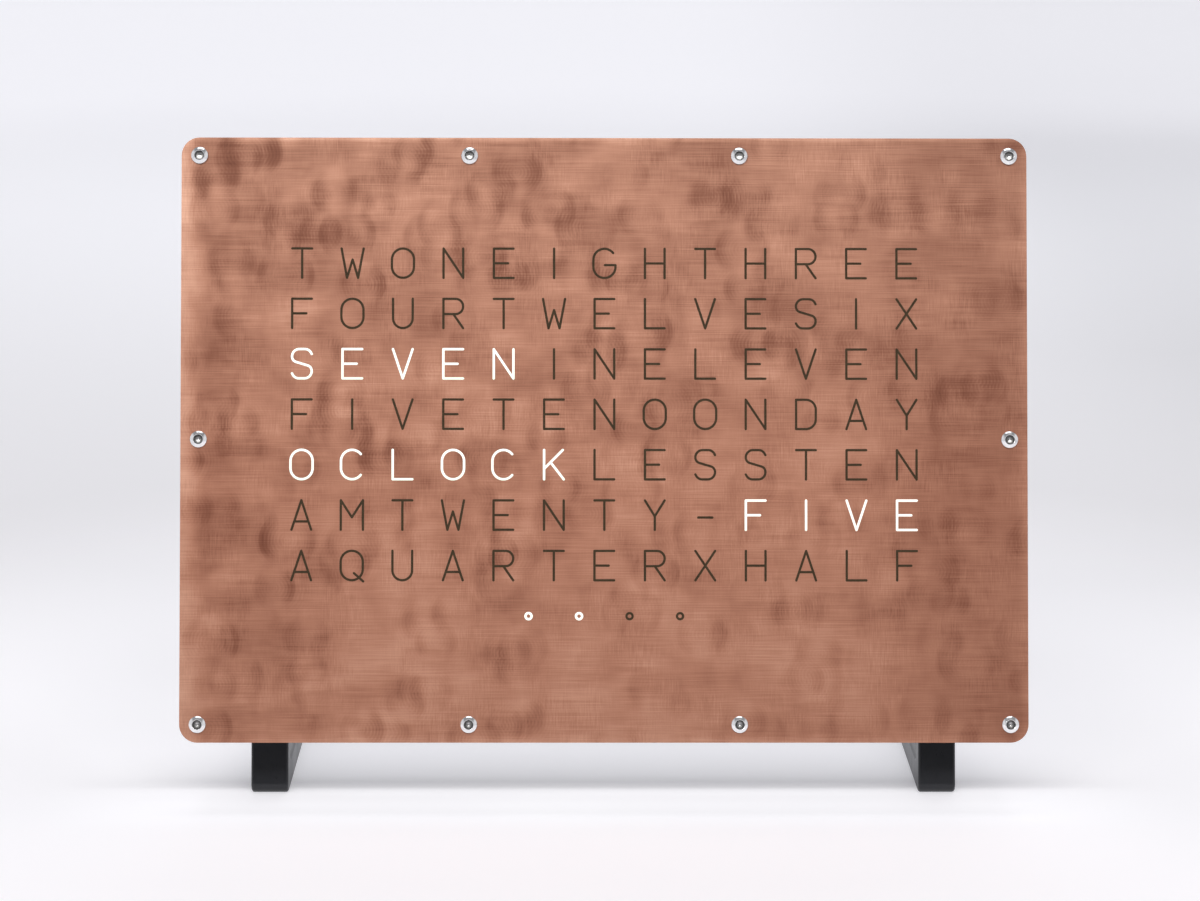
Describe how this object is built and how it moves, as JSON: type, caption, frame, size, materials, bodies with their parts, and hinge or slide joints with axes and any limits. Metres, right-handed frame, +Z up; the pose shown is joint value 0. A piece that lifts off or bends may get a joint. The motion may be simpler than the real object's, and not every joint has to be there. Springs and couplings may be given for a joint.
{
  "type": "word clock",
  "caption": "Free-standing word clock: a leaning copper face with milled letters lit from behind, a black case and two L-shaped feet.",
  "frame": {"origin": "on the floor, under the middle of the clock's width and depth", "axes": "+X to the right as seen from the front, +Y backwards, +Z up; the face looks along -Y and leans back 13.5 degrees"},
  "size_m": [0.28, 0.1116, 0.2185],
  "materials": {
    "bare_copper": "bare copper, brushed in overlapping swirls, clear lacquer",
    "fibreglass": "translucent glass-fibre laminate, dark where unlit",
    "stainless_steel": "polished stainless steel",
    "insert_brass": "turned brass",
    "case_black": "fine matt black",
    "grid_black": "matt black, light-tight",
    "strip_black": "black flexible circuit",
    "lamp_white": "white lamp package with a clear window",
    "ribbon_copper": "flat copper link",
    "board_green": "green solder mask",
    "can_steel": "plated steel",
    "chip_black": "moulded black",
    "capacitor_aluminium": "bare aluminium can",
    "socket_cream": "moulded nylon",
    "inlet_black": "moulded black, slight gloss",
    "button_black": "moulded black, slight gloss",
    "foot_black": "glossy black with softened edges",
    "lead_black": "flexible insulation",
    "lead_grey": "flexible insulation"
  },
  "bodies": {
    "clock": {"fibreglass_panel": "fibreglass", "copper_face": "bare_copper", "letter_centres": "bare_copper", "face_screws": "stainless_steel", "face_screw_inserts": "insert_brass", "case_frame": "case_black", "cover_screws": "stainless_steel", "cover_screw_inserts": "insert_brass", "rear_cover": "case_black", "light_grid": "grid_black", "led_strips": "strip_black", "leds": "lamp_white", "strip_links": "ribbon_copper", "backing_plate": "grid_black", "backing_plate_screws": "stainless_steel", "controller_board": "board_green", "board_spacers": "insert_brass", "board_screws": "stainless_steel", "processor_module": "can_steel", "clock_chip": "chip_black", "lamp_driver_chip": "chip_black", "coin_cell_holder": "chip_black", "coin_cell": "can_steel", "power_capacitor": "capacitor_aluminium", "lead_sockets": "socket_cream", "power_inlet": "inlet_black", "power_inlet_pin": "can_steel", "power_inlet_nut": "stainless_steel", "button_housings": "inlet_black", "button_nuts": "stainless_steel", "foot_left": "foot_black", "foot_right": "foot_black", "foot_screws": "stainless_steel", "foot_nuts": "stainless_steel", "power_lead": "lead_black", "button_leads": "lead_grey", "strip_lead": "lead_grey"},
    "hour_button": {"hour_button": "button_black"},
    "minute_button": {"minute_button": "button_black"}
  },
  "joints": [
    {"name": "hour_button_press", "type": "slide", "parent": "clock", "child": "hour_button", "axis": [0, -0.9724, 0.2334], "range_m": [0, 0.0015], "stiffness_N_per_m": 900},
    {"name": "minute_button_press", "type": "slide", "parent": "clock", "child": "minute_button", "axis": [0, -0.9724, 0.2334], "range_m": [0, 0.0015], "stiffness_N_per_m": 900}
  ]
}
